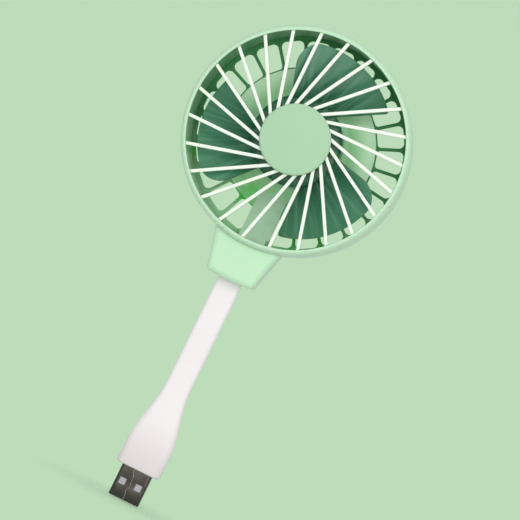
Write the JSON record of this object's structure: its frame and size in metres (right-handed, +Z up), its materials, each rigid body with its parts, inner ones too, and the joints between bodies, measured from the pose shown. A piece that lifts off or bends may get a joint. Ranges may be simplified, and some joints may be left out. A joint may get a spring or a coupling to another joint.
{
  "type": "plug-in desk fan",
  "caption": "Small round fan head with swept front ribs and broad blades, on a flat bendable neck that flares into a grip with a plug.",
  "frame": {"origin": "centre of the mouth of the plug", "axes": "+Z up the neck from the plug to the head, +Y out of the back of the head, air leaves along -Y, +X to the right seen from the front"},
  "size_m": [0.085, 0.0282, 0.1895],
  "materials": {
    "mint_plastic": "moulded, satin",
    "cap_plastic": "moulded, matt",
    "offwhite_plastic": "moulded, satin",
    "teal_plastic": "moulded, gloss",
    "white_silicone": "moulded, matt",
    "plug_steel": "nickel plated, bright",
    "contact_metal": "gold plated",
    "connector_plastic": "moulded",
    "core_plastic": "moulded",
    "core_wire": "annealed",
    "lead_pair": "extruded",
    "red_insulation": "extruded",
    "black_insulation": "extruded",
    "motor_steel": "pressed",
    "ferrite": "sintered",
    "copper_wire": "enamelled",
    "bearing_bronze": "sintered",
    "tube_brass": "turned",
    "board_laminate": "etched",
    "chip_plastic": "moulded",
    "nylon": "moulded",
    "screw_steel": "zinc plated"
  },
  "bodies": {
    "plug": {"sleeve_grip": "white_silicone", "plug_core": "core_plastic", "plug_shell": "plug_steel", "plug_insulator": "connector_plastic", "plug_contacts": "contact_metal", "core_wires_base": "core_wire", "leads_base": "lead_pair"},
    "neck_1": {"neck_sleeve_1": "white_silicone", "neck_core_wires_1": "core_wire", "neck_leads_1": "lead_pair"},
    "neck_2": {"neck_sleeve_2": "white_silicone", "neck_core_wires_2": "core_wire", "neck_leads_2": "lead_pair"},
    "neck_3": {"neck_sleeve_3": "white_silicone", "neck_core_wires_3": "core_wire", "neck_leads_3": "lead_pair"},
    "neck_4": {"neck_sleeve_4": "white_silicone", "neck_core_wires_4": "core_wire", "neck_leads_4": "lead_pair"},
    "neck_5": {"neck_sleeve_5": "white_silicone", "neck_core_wires_5": "core_wire", "neck_leads_5": "lead_pair"},
    "neck_6": {"neck_sleeve_6": "white_silicone", "neck_core_wires_6": "core_wire", "neck_leads_6": "lead_pair"},
    "neck_7": {"neck_sleeve_7": "white_silicone", "neck_core_wires_7": "core_wire", "neck_leads_7": "lead_pair"},
    "head": {"sleeve_top": "white_silicone", "core_wires_top": "core_wire", "neck_anchor": "core_plastic", "red_lead": "red_insulation", "black_lead": "black_insulation", "rear_housing": "mint_plastic", "motor_pod": "mint_plastic", "neck_block_front": "mint_plastic", "block_screws": "screw_steel", "front_bezel": "mint_plastic", "front_guard": "offwhite_plastic", "hub_cap": "cap_plastic", "channel_cover": "mint_plastic", "bearing_tube": "tube_brass", "thrust_plate": "nylon", "sleeve_bearing": "bearing_bronze", "stator_core": "motor_steel", "stator_insulators": "nylon", "stator_windings": "copper_wire", "motor_board": "board_laminate", "board_components": "chip_plastic"},
    "rotor": {"impeller": "teal_plastic", "rotor_yoke": "motor_steel", "rotor_magnet": "ferrite", "rotor_shaft": "motor_steel", "shaft_clip": "nylon"}
  },
  "joints": [
    {"name": "neck_bend_1", "type": "hinge", "parent": "plug", "child": "neck_1", "pos_m": [0, 0, 0.04985], "axis": [1, 0, 0], "range_deg": [-11.25, 11.25]},
    {"name": "neck_bend_2", "type": "hinge", "parent": "neck_1", "child": "neck_2", "pos_m": [0, 0, 0.05515], "axis": [1, 0, 0], "range_deg": [-11.25, 11.25]},
    {"name": "neck_bend_3", "type": "hinge", "parent": "neck_2", "child": "neck_3", "pos_m": [0, 0, 0.06045], "axis": [1, 0, 0], "range_deg": [-11.25, 11.25]},
    {"name": "neck_bend_4", "type": "hinge", "parent": "neck_3", "child": "neck_4", "pos_m": [0, 0, 0.06575], "axis": [1, 0, 0], "range_deg": [-11.25, 11.25]},
    {"name": "neck_bend_5", "type": "hinge", "parent": "neck_4", "child": "neck_5", "pos_m": [0, 0, 0.07105], "axis": [1, 0, 0], "range_deg": [-11.25, 11.25]},
    {"name": "neck_bend_6", "type": "hinge", "parent": "neck_5", "child": "neck_6", "pos_m": [0, 0, 0.07635], "axis": [1, 0, 0], "range_deg": [-11.25, 11.25]},
    {"name": "neck_bend_7", "type": "hinge", "parent": "neck_6", "child": "neck_7", "pos_m": [0, 0, 0.08165], "axis": [1, 0, 0], "range_deg": [-11.25, 11.25]},
    {"name": "neck_bend_8", "type": "hinge", "parent": "neck_7", "child": "head", "pos_m": [0, 0, 0.08695], "axis": [1, 0, 0], "range_deg": [-11.25, 11.25]},
    {"name": "impeller_spin", "type": "hinge", "parent": "head", "child": "rotor", "pos_m": [0, 0, 0.147], "axis": [0, -1, 0], "continuous": true}
  ]
}
